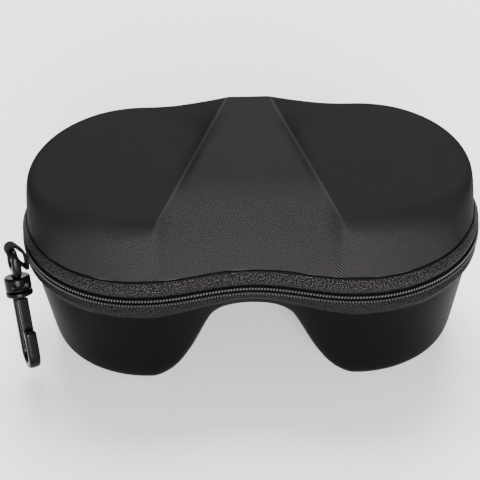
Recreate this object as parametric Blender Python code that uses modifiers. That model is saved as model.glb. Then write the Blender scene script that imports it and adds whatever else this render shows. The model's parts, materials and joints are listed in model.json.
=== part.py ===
"""Zip-round moulded hard case shaped like a goggle: a two-shell EVA foam case, closed and empty.

The lid and the base are three-layer shells (cloth cover, foam core, lining) lofted from
rings that follow one stadium-shaped outline.  The zip plane is the datum of the parts:
the empty CASE stands in it, and heights in this file are measured from it.
Metres, +Z up, +X to the wearer's left as the case faces -Y.
"""
import math

import bmesh
import bpy
import mathutils
import numpy as np

MM = 0.001

# Driving dimensions -------------------------------------------------------------------
HALF_WIDTH = 100 * MM           # plan at the zip
END_RADIUS = 54 * MM            # the ends are half circles of this radius
SPINE = HALF_WIDTH - END_RADIUS
BROW_DEPTH = 7 * MM             # how far the front is drawn in at the nose
BROW_HALF = 44 * MM
BASE_DEPTH = 55 * MM            # zip plane to the underside
REST_Y = 27 * MM                # the flat rest behind the nose recess, from the plan centre
SEAM = 10 * MM                  # cover edges above and below the zip
GAP = 0.3 * MM                  # clearance between neighbouring pieces

COVER = 0.5 * MM                # laminated cloth
CORE = 3.0 * MM                 # moulded foam
LINING = 0.5 * MM
LINING_GAP = 0.5 * MM           # glue line, wide enough for the tight bends at the recess
TAPE = 0.8 * MM
RIM = 4.5 * MM                  # foam edge above and below the zip plane
CUFF = 5.8 * MM                 # top of the upright stretch of the foam edge

# Lid
LID_INSET = 2.0 * MM            # cover edge behind the zip line
RIDGE_TOP = 39.5 * MM
NOSE_RADIUS = 68.5 * MM         # arc of the nose hood, side view
NOSE_CENTRE_Y = 9.0 * MM
PANEL_TOP = 31.5 * MM           # top panels at x = 45, y = 0
PANEL_PITCH = 0.05              # the panels fall forward
PANEL_ROLL = 0.035              # and outward
RIDGE_BACK, RIDGE_FRONT = 38 * MM, -40 * MM
RIDGE_HALF_BACK, RIDGE_HALF_FRONT = 11 * MM, 40 * MM

# Base
BASE_INSET = 2.5 * MM
NOSE_TUCK = 5.0 * MM            # extra lean of the lower band over the nose recess
RECESS_FRONT = -37 * MM
RECESS_BACK = 24 * MM
RECESS_RISE = 38 * MM
RECESS_HALF = 24 * MM

# Zip, pull and slider
CHAIN_GAP = 0.5 * MM            # half the room between the two coil rows
COIL_OUT, COIL_IN = -0.8 * MM, 0.5 * MM
COIL_HIGH = 1.9 * MM
HINGE_AXIS_Y = END_RADIUS + 1.2 * MM
SLIDER_ANGLE = 50               # parked near the rear right corner
SLIDER_HALF = 5.3               # degrees of arc covered on each side
BAIL_OUT = 5.4 * MM
PULL_LENGTH = 22 * MM

# Strap loop and snap hook
LOOP_ANGLE = 180 + 20.4         # place on the left end
BAR_OUT, BAR_UP = 6.9 * MM, 3.7 * MM
BAR_RADIUS = 1.3 * MM
STRAP_WIDTH = 9 * MM
STRAP_PLY = 1.2 * MM
HANG = mathutils.Vector((0.10, -0.34, -0.935)).normalized()
NOSE_TURN = math.radians(22)    # how far the hook's nose is turned from the front
COLLAR_RADIUS = 5.75 * MM
SHANK_HALF = 2.6 * MM           # half thickness of the hook's flat shank
GATE_HALF = 2.3 * MM

COLUMNS_ARC, COLUMNS_SIDE = 12, 7
WALL_WIDTH = 22 * MM            # inset over which a shell turns from wall to top
WALL_SHARES = (0.0, 0.16, 0.34, 0.58, 1.0)
TOP_SHARES = (0.18, 0.4, 0.68, 1.0)


# Scene and small helpers --------------------------------------------------------------
for old in list(bpy.data.objects):
    bpy.data.objects.remove(old, do_unlink=True)

PARTS = bpy.data.collections.new("goggle_case")
CUTTERS = bpy.data.collections.new("goggle_case_cutters")
for collection in (PARTS, CUTTERS):
    bpy.context.scene.collection.children.link(collection)


def material(name, colour, roughness, metallic=0.0):
    made = bpy.data.materials.new(name)
    made.use_nodes = True
    shader = made.node_tree.nodes["Principled BSDF"]
    shader.inputs["Base Color"].default_value = (*colour, 1)
    shader.inputs["Roughness"].default_value = roughness
    shader.inputs["Metallic"].default_value = metallic
    return made


LAMINATE = material("cover_cloth", (0.030, 0.029, 0.030), 0.62)
FOAM = material("eva_foam", (0.022, 0.022, 0.023), 0.85)
TRICOT = material("lining_tricot", (0.018, 0.018, 0.019), 0.9)
WOVEN = material("zip_tape_cloth", (0.040, 0.038, 0.040), 0.8)
NYLON = material("zip_coil_nylon", (0.012, 0.012, 0.013), 0.35)
DIE_CAST = material("slider_metal", (0.030, 0.030, 0.032), 0.4, 0.6)
WEBBING = material("loop_webbing", (0.020, 0.020, 0.021), 0.75)
ACETAL = material("hook_plastic", (0.010, 0.010, 0.011), 0.22)


def empty(name, location, parent=None):
    made = bpy.data.objects.new(name, None)
    made.location = location
    made.parent = parent
    PARTS.objects.link(made)
    return made


def finish(obj, name, finish_material, parent, smooth_angle=35):
    """Name a piece, give it its material and hang it on its body's empty."""
    obj.name = name
    obj.data.name = name
    obj.data.materials.clear()
    obj.data.materials.append(finish_material)
    for collection in list(obj.users_collection):
        collection.objects.unlink(obj)
    PARTS.objects.link(obj)
    obj.parent = parent
    if obj.type == "MESH":
        obj.data.shade_smooth()
        obj.data.set_sharp_from_angle(angle=math.radians(smooth_angle))
    return obj


def mesh_object(name, verts, faces):
    """A mesh from points and faces, doubles merged and faces turned outward."""
    mesh = bpy.data.meshes.new(name)
    mesh.from_pydata([tuple(v) for v in verts], [], [tuple(f) for f in faces])
    work = bmesh.new()
    work.from_mesh(mesh)
    bmesh.ops.remove_doubles(work, verts=work.verts, dist=1e-6)
    bmesh.ops.recalc_face_normals(work, faces=work.faces)
    work.to_mesh(mesh)
    work.free()
    made = bpy.data.objects.new(name, mesh)
    PARTS.objects.link(made)
    return made


def cut(target, cutter, operation="DIFFERENCE"):
    modifier = target.modifiers.new(operation.lower(), "BOOLEAN")
    modifier.operation = operation
    modifier.object = cutter
    for collection in list(cutter.users_collection):
        collection.objects.unlink(cutter)
    CUTTERS.objects.link(cutter)
    cutter.hide_render = True
    cutter.display_type = "WIRE"


def cylinder(radius, depth, location, sides=24, parent=None):
    bpy.ops.mesh.primitive_cylinder_add(vertices=sides, radius=radius, depth=depth,
                                        location=location)
    made = bpy.context.object
    made.parent = parent
    return made


def box(size, location, parent=None):
    bpy.ops.mesh.primitive_cube_add(size=1, location=location)
    made = bpy.context.object
    made.data.transform(mathutils.Matrix.Diagonal((*size, 1)))
    made.parent = parent
    return made


def flat_outline(name, loops, half_thickness):
    """A flat outline with holes, given thickness: the first loop is the outer one."""
    curve = bpy.data.curves.new(name, "CURVE")
    curve.dimensions = "2D"
    curve.fill_mode = "BOTH"
    curve.extrude = half_thickness
    for loop in loops:
        spline = curve.splines.new("POLY")
        spline.points.add(len(loop) - 1)
        for point, (u, v) in zip(spline.points, loop):
            point.co = (u, v, 0, 1)
        spline.use_cyclic_u = True
    made = bpy.data.objects.new(name, curve)
    PARTS.objects.link(made)
    return made


def as_mesh(curve_object):
    """The mesh of a curve, its caps welded on."""
    evaluated = curve_object.evaluated_get(bpy.context.evaluated_depsgraph_get())
    mesh = bpy.data.meshes.new_from_object(evaluated)
    work = bmesh.new()
    work.from_mesh(mesh)
    bmesh.ops.remove_doubles(work, verts=work.verts, dist=1e-6)
    bmesh.ops.recalc_face_normals(work, faces=work.faces)
    work.to_mesh(mesh)
    work.free()
    made = bpy.data.objects.new(curve_object.name, mesh)
    made.matrix_world = curve_object.matrix_world
    PARTS.objects.link(made)
    bpy.data.objects.remove(curve_object, do_unlink=True)
    return made


def arc(centre, radius, start, end, steps):
    """Points on an arc, angles in degrees."""
    angles = np.radians(np.linspace(start, end, steps))
    return [(centre[0] + radius * math.cos(a), centre[1] + radius * math.sin(a)) for a in angles]


# Plan outline -------------------------------------------------------------------------
def outline():
    """Spine point and outward direction of every column, once round from the rear centre."""
    side = np.linspace(0, SPINE, COLUMNS_SIDE, endpoint=False)
    turn = np.radians(np.linspace(90, -90, COLUMNS_ARC + 1))
    rear = [(x, 0, 0, 1) for x in side]
    end = [(SPINE, 0, math.cos(a), math.sin(a)) for a in turn]
    front = [(x, 0, 0, -1) for x in side[::-1]]
    right = np.array(rear + end + front)
    left = right[-2:0:-1] * np.array([-1, 1, -1, 1])
    return np.concatenate([right, left])


COLUMNS = outline()


def brow(x):
    """Cosine window over the nose, 1 on the middle plane and 0 from BROW_HALF outward."""
    return 0.5 + 0.5 * np.cos(np.pi * np.clip(np.abs(x) / BROW_HALF, 0, 1))


def ring(inset, height, columns=COLUMNS):
    """One ring of the loft, inset from the zip outline."""
    reach = END_RADIUS - inset
    x = columns[:, 0] + columns[:, 2] * reach
    y = columns[:, 1] + columns[:, 3] * reach
    on_front = (columns[:, 3] < 0) & (np.abs(columns[:, 0]) <= SPINE)
    y = y + np.where(on_front, brow(x) * BROW_DEPTH * reach / END_RADIUS, 0)
    return np.stack([x, y, np.broadcast_to(height, x.shape)], axis=1)


def inset_at(x, y):
    """Distance from the zip outline to any point of the plan, the inverse of ring()."""
    over = np.clip(np.abs(x) - SPINE, 0, None)
    drawn = np.where((y < 0) & (over == 0), 1 - brow(x) * BROW_DEPTH / END_RADIUS, 1)
    return END_RADIUS - np.hypot(over, y / drawn)


def frontness(x, y):
    """1 where the nearest wall faces the front, -1 at the rear, 0 at the ends."""
    over = np.clip(np.abs(x) - SPINE, 0, None)
    return -y / np.maximum(np.hypot(over, y), 1e-6)


def between(low, high, value):
    """Smooth step of value from low to high."""
    t = np.clip((value - low) / (high - low), 0, 1)
    return t * t * (3 - 2 * t)


def shoulder(inset, rise, draft, radius):
    """Height of a drafted wall rounded into a top that stands `rise` above its foot."""
    rise = np.maximum(rise, 0.3 * MM)
    radius = np.minimum(radius, 0.6 * rise)
    sin, cos = np.sin(draft), np.cos(draft)
    a = radius - inset * cos
    b = radius - rise
    k = 1 + sin * sin
    half = a * sin + b
    root = np.sqrt(np.maximum(half * half - k * (a * a + b * b - radius * radius), 0))
    curve = (root - half) / k
    wall_end = (rise - radius) * sin / cos
    top_start = (radius + rise * sin) / cos
    line = inset * cos / sin
    return np.where(inset < wall_end, line, np.where(inset > top_start, rise, curve))


def lid_height(x, y):
    """Outer face of the lid over the plan: nose hood between two pitched top panels."""
    across = np.abs(x)
    level_y = y + (1 - brow(x)) * BROW_DEPTH * between(0, -END_RADIUS, y)
    hood = RIDGE_TOP - NOSE_RADIUS + np.sqrt(
        np.maximum(NOSE_RADIUS ** 2 - np.minimum(level_y - NOSE_CENTRE_Y, 0) ** 2, 0))
    half = RIDGE_HALF_BACK + (RIDGE_BACK - y) / (RIDGE_BACK - RIDGE_FRONT) * (
        RIDGE_HALF_FRONT - RIDGE_HALF_BACK)
    forward = between(15 * MM, -25 * MM, y)
    hood = hood - 4 * MM * forward * np.clip(across / np.maximum(half, MM), 0, 1.2) ** 3
    panel = PANEL_TOP + PANEL_PITCH * y - PANEL_ROLL * (across - 45 * MM)
    inner = half - 9 * MM * forward
    outer = half + 5 * MM * (1 - forward)
    blend = between(inner, outer, across)
    top = hood * (1 - blend) + panel * blend
    front = np.clip(frontness(x, y), 0, 1) ** 2
    rear = np.clip(-frontness(x, y), 0, 1) ** 2
    draft = np.radians(4 + 6 * rear + 27 * front)
    soft = 6 + 12 * between(45 * MM, 75 * MM, across)
    radius = (9 * (1 - front - rear) + 9 * rear + soft * front) * MM
    return SEAM + shoulder(inset_at(x, y) - LID_INSET, top - SEAM, draft, radius)


def tuck(x, y):
    """Extra inward lean of the lower band over the nose recess."""
    return NOSE_TUCK * brow(x) * between(0, -30 * MM, y)


def base_height(x, y):
    """Outer face of the base over the plan, with the arched nose recess at the front."""
    along = np.clip((y - RECESS_FRONT) / (RECESS_BACK - RECESS_FRONT), 0, 1)
    half = RECESS_HALF * (1 - 0.3 * along)
    bell = 1.06 / (1 + (np.abs(x) / half) ** 6) - 0.06
    recess = RECESS_RISE * (1 - along ** 2) * np.maximum(bell, 0)
    front = np.clip(frontness(x, y), 0, 1) ** 2
    arch = recess / RECESS_RISE * front
    draft = np.radians(9 + 24 * arch)
    radius = (10 - 1 * front) * MM
    wall = inset_at(x, y) - BASE_INSET - tuck(x, y)
    return -SEAM - shoulder(wall, BASE_DEPTH - SEAM - recess, draft, radius)


def face_rings(height, first_inset):
    """Rings of a shell's outer face, from its edge up the wall and in to the spine."""
    wall = first_inset + WALL_WIDTH * np.array(WALL_SHARES)
    top = wall[-1] + (END_RADIUS - wall[-1]) * np.array(TOP_SHARES)
    rings = []
    for inset in (*wall, *top):
        level = ring(inset, 0)
        if inset < END_RADIUS:
            lean = tuck(level[:, 0], level[:, 1]) if height is base_height else 0
            level = ring(inset + lean * (1 - inset / END_RADIUS), 0)
        level[:, 2] = height(level[:, 0], level[:, 1])
        rings.append(level)
    return rings


def offset(level, height, depth, side):
    """A ring moved inward by depth along the height field's normal."""
    step = 0.2 * MM
    x, y = level[:, 0], level[:, 1]
    slope_x = (height(x + step, y) - height(x - step, y)) / (2 * step)
    slope_y = (height(x, y + step) - height(x, y - step)) / (2 * step)
    normal = np.stack([-slope_x, -slope_y, np.ones_like(x)], axis=1) * side
    normal /= np.linalg.norm(normal, axis=1, keepdims=True)
    return level - normal * depth


def skin(name, rings, closed_columns=True, loop=False, turn=0):
    """Triangles between successive rings; loop joins the last ring to the first.

    Before ring `turn` the diagonals run the other way, so the two faces of a layer match."""
    count = len(rings[0])
    verts = np.concatenate(rings)
    faces = []
    for i in range(len(rings) if loop else len(rings) - 1):
        j = (i + 1) % len(rings)
        for c in range(count if closed_columns else count - 1):
            d = (c + 1) % count
            a, b, e, f = i * count + c, i * count + d, j * count + d, j * count + c
            faces += [(a, b, f), (b, e, f)] if i < turn else [(a, b, e), (a, e, f)]
    if not closed_columns:
        for c in (0, count - 1):
            faces.append([i * count + c for i in range(len(rings))])
    return mesh_object(name, verts, faces)


def shell_layer(name, side, depth, thickness, skirt, finish_material, parent):
    """A closed layer of the lid (side 1) or base (side -1), depth below the outer face.

    skirt holds the (inset, height) pairs of the upright edge, from the seam to the rim."""
    height = lid_height if side > 0 else base_height
    face = face_rings(height, LID_INSET if side > 0 else BASE_INSET)
    outer = [offset(level, height, depth, side) for level in face]
    inner = [offset(level, height, depth + thickness, side) for level in face]
    outer_skirt = [edge_ring(inset, up, side) for inset, up in skirt]
    inner_skirt = [edge_ring(inset + thickness, up, side) for inset, up in skirt[::-1]]
    made = skin(name, outer[::-1] + outer_skirt + inner_skirt + inner, turn=len(outer) - 1)
    return finish(made, name, finish_material, parent)


def edge_ring(inset, up, side, columns=COLUMNS):
    """A ring near the zip, leaning with the band where it tucks under the nose."""
    flat = ring(inset, side * up, columns)
    if side > 0:
        return flat
    lean = tuck(flat[:, 0], flat[:, 1]) * min(up / SEAM, 1)
    return ring(inset + lean, side * up, columns)


def band(name, section, side, finish_material, parent, columns=COLUMNS):
    """A (inset, height) section carried round the outline, whole or over some columns."""
    rings = [edge_ring(inset, up, side, columns) for inset, up in section]
    made = skin(name, rings, closed_columns=columns is COLUMNS, loop=True)
    return finish(made, name, finish_material, parent)


def turned(name, profile, steps=24):
    """A turned solid from (radius, height) points, listed from top to bottom."""
    work = bmesh.new()
    points = [work.verts.new((radius, 0, up)) for radius, up in profile]
    for first, second in zip(points, points[1:]):
        work.edges.new((first, second))
    mesh = bpy.data.meshes.new(name)
    work.to_mesh(mesh)
    work.free()
    made = bpy.data.objects.new(name, mesh)
    PARTS.objects.link(made)
    screw = made.modifiers.new("turn", "SCREW")
    screw.axis = "Z"
    screw.steps = screw.render_steps = steps
    screw.use_merge_vertices = True
    screw.merge_threshold = 0.00001
    screw.use_normal_calculate = True
    return made


def tube(name, points, radius, cyclic, sides=3):
    """A round tube along points, as a mesh."""
    curve = bpy.data.curves.new(name, "CURVE")
    curve.dimensions = "3D"
    curve.bevel_depth = radius
    curve.bevel_resolution = sides
    curve.use_fill_caps = not cyclic
    spline = curve.splines.new("POLY")
    spline.points.add(len(points) - 1)
    for point, co in zip(spline.points, points):
        point.co = (*co, 1)
    spline.use_cyclic_u = cyclic
    made = bpy.data.objects.new(name, curve)
    PARTS.objects.link(made)
    return as_mesh(made)


# Bodies -------------------------------------------------------------------------------
CASE = empty("case", (0, -REST_Y, BASE_DEPTH))
LID = empty("lid_hinge_axis", (0, HINGE_AXIS_Y, 0), CASE)
LID_DATUM = empty("lid_datum", (0, -HINGE_AXIS_Y, 0), LID)
SLIDER = empty("slider_axis", (SPINE, 0, 0), CASE)
angle = math.radians(SLIDER_ANGLE)
BAIL_REACH = END_RADIUS + BAIL_OUT
PULL = empty("pull_axis", (BAIL_REACH * math.cos(angle), BAIL_REACH * math.sin(angle), 0), SLIDER)
PULL.rotation_euler = (0, 0, angle)

# The eye's frame: X along its top bar, Z up the hook, Y towards the case.
loop_angle = math.radians(LOOP_ANGLE)
out = mathutils.Vector((math.cos(loop_angle), math.sin(loop_angle), 0))
bar_at = out * (END_RADIUS + BAR_OUT) + mathutils.Vector((-SPINE, 0, BAR_UP))
up_axis = -HANG
bar_axis = up_axis.cross(out).normalized()
in_axis = up_axis.cross(bar_axis)
EYE = empty("eye_axis", (0, 0, 0), CASE)
EYE.matrix_local = mathutils.Matrix((
    (bar_axis.x, in_axis.x, up_axis.x, bar_at.x),
    (bar_axis.y, in_axis.y, up_axis.y, bar_at.y),
    (bar_axis.z, in_axis.z, up_axis.z, bar_at.z),
    (0, 0, 0, 1)))

# Shells -------------------------------------------------------------------------------
TAPE_OUT = ((0.8, 0.6), (0.8, 2.2), (0.1, 3.2), (-0.6, 5.6), (1.5, 9.6))
FOAM_SKIRT = (1.6 * MM, CUFF), (1.6 * MM, RIM)
LINING_SKIRT = tuple((inset + CORE + LINING_GAP, up) for inset, up in FOAM_SKIRT)

for prefix, side, parent in (("base", -1, CASE), ("lid", 1, LID_DATUM)):
    shell_layer(prefix + "_cover", side, 0, COVER, (), LAMINATE, parent)
    shell_layer(prefix + "_foam_shell", side, COVER + GAP, CORE, FOAM_SKIRT, FOAM, parent)
    shell_layer(prefix + "_lining", side, COVER + GAP + CORE + LINING_GAP, LINING,
                LINING_SKIRT, TRICOT, parent)

    # Cloth binding folded over the rim of foam and lining.
    inside = LINING_SKIRT[0][0] + LINING + GAP
    binding = ((1.6 * MM, RIM - 0.9 * MM), (inside + 0.6 * MM, RIM - 0.9 * MM),
               (inside + 0.6 * MM, CUFF), (inside, CUFF), (inside, RIM - GAP),
               (1.6 * MM, RIM - GAP))
    band(prefix + "_rim_binding", binding, side, WOVEN, parent)

    # Zip tape and its row of coil, open at the rear where the cloth hinge is.
    wall = COLUMNS[COLUMNS_SIDE:len(COLUMNS) - COLUMNS_SIDE + 1]
    outer = [(inset * MM, up * MM) for inset, up in TAPE_OUT]
    inner = [(max(inset, 0) * MM + TAPE, up * MM) for inset, up in TAPE_OUT[::-1]]
    word = "upper" if side > 0 else "lower"
    band("zip_tape_" + word, outer + inner, side, WOVEN, parent, wall)
    coil = ((COIL_OUT, CHAIN_GAP), (COIL_IN, CHAIN_GAP), (COIL_IN, COIL_HIGH),
            (COIL_OUT, COIL_HIGH))
    band("zip_coil_" + word, coil, side, NYLON, parent, wall[1:-1])

    # Half of the cloth hinge, sewn to this shell.
    leaf_columns = np.array([(-SPINE + 0.5 * MM, 0, 0, 1), (SPINE - 0.5 * MM, 0, 0, 1)])
    leaf = ((0, CHAIN_GAP), (0.9 * MM, CHAIN_GAP), (0.9 * MM, 6 * MM), (2.2 * MM, 9.6 * MM),
            (1.4 * MM, 9.6 * MM), (0, 6 * MM))
    band("hinge_cloth_" + word, leaf, side, WOVEN, parent, leaf_columns)

# Zip slider and pull ------------------------------------------------------------------
span = np.radians(np.linspace(SLIDER_ANGLE - SLIDER_HALF, SLIDER_ANGLE + SLIDER_HALF, 5))
slider_columns = np.stack([0 * span, 0 * span, np.cos(span), np.sin(span)], axis=1)
slider_section = [(-2.1, -3.4), (-1.3, -3.4), (-1.3, -0.2), (2.2, -0.2), (2.2, -3.3), (3.0, -3.3),
                  (3.0, 3.3), (2.2, 3.3), (2.2, 0.2), (-1.3, 0.2), (-1.3, 3.4), (-2.1, 3.4)]
slider_rings = [ring(inset * MM, up * MM, slider_columns) for inset, up in slider_section]
slider = skin("zip_slider", slider_rings, closed_columns=False, loop=True)
finish(slider, "zip_slider", DIE_CAST, SLIDER)

bail_foot = 1.7 * MM - BAIL_OUT
bail = tube("slider_bail", [(bail_foot, -3.4 * MM, 0), (-1.2 * MM, -3.4 * MM, 0), (0, -2.4 * MM, 0),
                            (0, 2.4 * MM, 0), (-1.2 * MM, 3.4 * MM, 0), (bail_foot, 3.4 * MM, 0)],
            0.7 * MM, cyclic=False, sides=2)
bail.parent = SLIDER
bail.location = PULL.location
bail.rotation_euler = PULL.rotation_euler
cut(slider, bail, "UNION")

bpy.ops.mesh.primitive_torus_add(major_radius=2.0 * MM, minor_radius=0.5 * MM,
                                 major_segments=20, minor_segments=8,
                                 rotation=(math.pi / 2, 0, 0))
pull = finish(bpy.context.object, "zip_pull", DIE_CAST, PULL)
tab = box((1.6 * MM, 6 * MM, PULL_LENGTH), (0, 0, -2.1 * MM - PULL_LENGTH / 2), PULL)
cut(pull, tab, "UNION")

# Strap loop ---------------------------------------------------------------------------
strap_inner = BAR_RADIUS + 0.6 * MM
strap_outer = strap_inner + STRAP_PLY
foot_in = BAR_OUT - 0.5 * MM
foot_low, foot_high = -11.5 * MM, -7.5 * MM


def hull(points):
    """Convex outline of a set of flat points."""
    order = mathutils.geometry.convex_hull_2d([mathutils.Vector(p) for p in points])
    return [points[i] for i in order]


outer_loop = hull(arc((0, 0), strap_outer, 0, 345, 20) + [(foot_in, foot_high), (foot_in, foot_low),
                                                         (foot_in - 1.4 * MM, foot_low)])
inner_loop = hull(arc((0, 0), strap_inner, 0, 345, 16) + [(foot_in - 1.6 * MM, foot_high - MM),
                                                         (foot_in - 2.2 * MM, foot_high - 2 * MM)])
loop = as_mesh(flat_outline("hook_strap_loop", [outer_loop, inner_loop], STRAP_WIDTH / 2))
finish(loop, "hook_strap_loop", WEBBING, CASE)
loop.matrix_local = EYE.matrix_local @ mathutils.Matrix(((0, 0, 1, 0), (1, 0, 0, 0),
                                                         (0, 1, 0, 0), (0, 0, 0, 1)))

# Snap hook ----------------------------------------------------------------------------
EYE_HALF, EYE_DROP, EYE_CORNER = 6.4 * MM, 9.5 * MM, 3 * MM
corners = ((EYE_HALF, 0, 0), (EYE_HALF, -EYE_DROP, -90), (-EYE_HALF, -EYE_DROP, 180),
           (-EYE_HALF, 0, 90))
eye_path = []
for edge_x, edge_z, start in corners:
    centre = (edge_x - math.copysign(EYE_CORNER, edge_x), edge_z + (
        -EYE_CORNER if edge_z == 0 else EYE_CORNER))
    eye_path += [(u, 0, v) for u, v in arc(centre, EYE_CORNER, start + 90, start, 5)]
eye = tube("hook_eye", eye_path, BAR_RADIUS, cyclic=True)
finish(eye, "hook_eye", ACETAL, EYE)
stem = turned("eye_stem", [(0, -9.6 * MM), (1.8 * MM, -9.6 * MM), (1.8 * MM, -15.0 * MM),
                           (3.1 * MM, -15.0 * MM), (3.1 * MM, -16.4 * MM), (0, -16.4 * MM)], 20)
stem.parent = EYE
cut(eye, stem, "UNION")

nose_faces = mathutils.Vector((0, -0.8, 0.6))
facing = EYE.matrix_local.to_3x3().transposed() @ nose_faces
nose_heading = math.atan2(facing.y, facing.x) + NOSE_TURN
HOOK = empty("swivel_axis", (0, 0, 0), EYE)
HOOK.rotation_euler = (0, 0, nose_heading + math.pi)
GATE_PIVOT = (-4.1 * MM, -21.6 * MM)
GATE = empty("gate_axis", (GATE_PIVOT[0], 0, GATE_PIVOT[1]), HOOK)

collar = turned("hook_body", [(0, -11.9 * MM), (5.2 * MM, -11.9 * MM),
                              (COLLAR_RADIUS, -12.5 * MM), (COLLAR_RADIUS, -17.6 * MM),
                              (4.8 * MM, -17.7 * MM), (4.8 * MM, -18.2 * MM),
                              (5.9 * MM, -18.3 * MM), (5.9 * MM, -20.4 * MM), (0, -20.4 * MM)])
finish(collar, "hook_body", ACETAL, HOOK)
cut(collar, cylinder(2.2 * MM, 6 * MM, (0, 0, -13 * MM), 20, HOOK))
cut(collar, box((13 * MM, 7.4 * MM, 2.6 * MM), (0, 0, -15.7 * MM), HOOK))
bend = (-MM, -47 * MM)
hook_line = [(6.5 * MM, -19 * MM)] + arc(bend, 7.5 * MM, 0, -180, 17)
hook_line += [(-8.5 * MM, -36.5 * MM), (-7.6 * MM, -35.4 * MM), (-5.9 * MM, -35.4 * MM),
              (-5.2 * MM, -36.2 * MM)]
hook_line += arc(bend, 4.2 * MM, -180, 0, 13) + [(3.2 * MM, -24 * MM), (1.5 * MM, -19 * MM)]
shank = as_mesh(flat_outline("hook_shank", [hook_line], SHANK_HALF))
shank.rotation_euler = (math.pi / 2, 0, 0)
shank.parent = HOOK
cut(collar, shank, "UNION")

gate_line = [(-0.8 * MM, 0.8 * MM), (0.8 * MM, 0.8 * MM), (0.8 * MM, -17 * MM), (0.5 * MM, -19.4 * MM),
             (-0.5 * MM, -19.4 * MM), (-0.8 * MM, -17 * MM)]
gate = as_mesh(flat_outline("hook_gate", [gate_line], GATE_HALF))
gate.rotation_euler = (math.pi / 2, 0, 0)
finish(gate, "hook_gate", ACETAL, GATE)
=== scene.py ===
"""Finished surfaces of a zip-round moulded goggle case: cloth, lining, zip, hinge and snap hook.

The CAD frame gives the places and the joints.  Plan coordinates have their centre in the zip
plane, x along the case and y to the rear; heights are measured from the zip plane.
"""

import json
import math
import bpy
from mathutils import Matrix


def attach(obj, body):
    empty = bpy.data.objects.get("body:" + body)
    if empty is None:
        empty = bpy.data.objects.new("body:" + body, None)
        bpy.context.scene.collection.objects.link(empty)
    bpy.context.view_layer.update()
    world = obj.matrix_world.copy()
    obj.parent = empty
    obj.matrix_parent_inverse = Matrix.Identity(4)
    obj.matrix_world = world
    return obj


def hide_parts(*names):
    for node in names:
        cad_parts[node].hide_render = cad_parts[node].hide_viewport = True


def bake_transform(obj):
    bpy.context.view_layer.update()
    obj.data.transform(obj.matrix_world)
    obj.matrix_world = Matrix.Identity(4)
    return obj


bl_info = {
    "name": "Moulded goggle case",
    "version": (1, 0, 0),
    "blender": (4, 5, 0),
    "location": "3D View > Sidebar > Goggle case",
    "description": "Builds the finished pieces of a zip-round moulded goggle case",
    "category": "Add Mesh",
}

import bmesh
import bpy
import numpy as np
from bpy.props import FloatProperty, FloatVectorProperty, PointerProperty
from mathutils import Matrix, Vector

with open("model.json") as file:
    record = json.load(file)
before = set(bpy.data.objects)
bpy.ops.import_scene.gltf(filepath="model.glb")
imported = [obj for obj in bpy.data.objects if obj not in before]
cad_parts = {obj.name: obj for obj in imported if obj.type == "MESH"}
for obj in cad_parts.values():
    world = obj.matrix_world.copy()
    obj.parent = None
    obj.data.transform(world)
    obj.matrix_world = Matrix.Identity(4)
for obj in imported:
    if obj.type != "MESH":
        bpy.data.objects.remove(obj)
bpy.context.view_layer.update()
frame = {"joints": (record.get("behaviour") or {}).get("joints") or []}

MM = 0.001
JOINTS = {joint["name"]: joint for joint in frame["joints"]}

# Places and driving dimensions, from the frame where it states them.
SPINE, PLAN_Y, ZIP_Z = JOINTS["slider_run"]["pos_m"]
HINGE_AXIS_Y = JOINTS["lid_hinge"]["pos_m"][1] - PLAN_Y
END_RADIUS = HINGE_AXIS_Y - 1.2 * MM
LAP = 4 * SPINE + math.tau * END_RADIUS      # once round the zip line
BROW_DEPTH, BROW_HALF = 7 * MM, 44 * MM
SEAM = 10 * MM                                  # cover edges above and below the zip
COVER, CORE, LINING = 0.5 * MM, 3.0 * MM, 0.5 * MM
LID_INSET, BASE_INSET = 2.0 * MM, 2.5 * MM
PANEL_PITCH, PANEL_ROLL = 0.05, 0.035
RIDGE_BACK, RIDGE_FRONT = 38 * MM, -40.5 * MM
CREASE_BACK, CREASE_FRONT = 32.95 * MM, 54.9 * MM   # half width plus CREASE_LEAN of the height
CREASE_LEAN = 0.56
RIDGE_STEP = 4.6 * MM                           # ridge above the panels at its rear end
HOOD_DROOP, CREST_RUN = 2.5 * MM, 7 * MM
SKIRT, REAR_SKIRT = 8 * MM, 30 * MM
LID_DRAFT, REAR_DRAFT, FRONT_DRAFT = 4, 6, 27   # degrees: at the ends, and added elsewhere
BASE_DRAFT, NOSE_DRAFT = 9, 24                  # the same for the base, and over its nose recess
NOSE_TUCK = 5.0 * MM
RECESS_FRONT, RECESS_BACK = -37 * MM, 24 * MM
RECESS_RISE, RECESS_HALF = 38 * MM, 24 * MM
BASE_DEPTH = ZIP_Z
RIM, CUFF = 4.5 * MM, 5.8 * MM                  # foam edge, and the top of its upright stretch
HINGE_ENDS = SPINE - 0.5 * MM
SHARP_FORMED, SHARP_MOULDED = 50, 38            # degrees from which an edge is shaded sharp


# Settings ---------------------------------------------------------------------------------
def length(name, millimetres, description):
    return FloatProperty(name=name, description=description, default=millimetres * MM,
                         unit="LENGTH")


def tint(name, default, description):
    return FloatVectorProperty(name=name, description=description, default=default,
                               subtype="COLOR", min=0, max=1)


class CaseShape(bpy.types.PropertyGroup):
    ridge_top: length("Ridge top", 39.5, "Top of the nose ridge above the zip")
    nose_radius: length("Nose radius", 68.5, "Side-view radius of the nose hood")
    nose_start: length("Nose start", 9.0, "Where the hood begins to fall")
    panel_top: length("Panel top", 31.5, "Height of the top panels")
    crease: length("Crease radius", 0.9, "Rounding of the moulded creases")
    tooth_pitch: length("Tooth pitch", 1.27, "Pitch of the zip's coil")
    twill_pitch: length("Twill pitch", 0.75, "Spacing of the cloth's diagonals")


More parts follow.
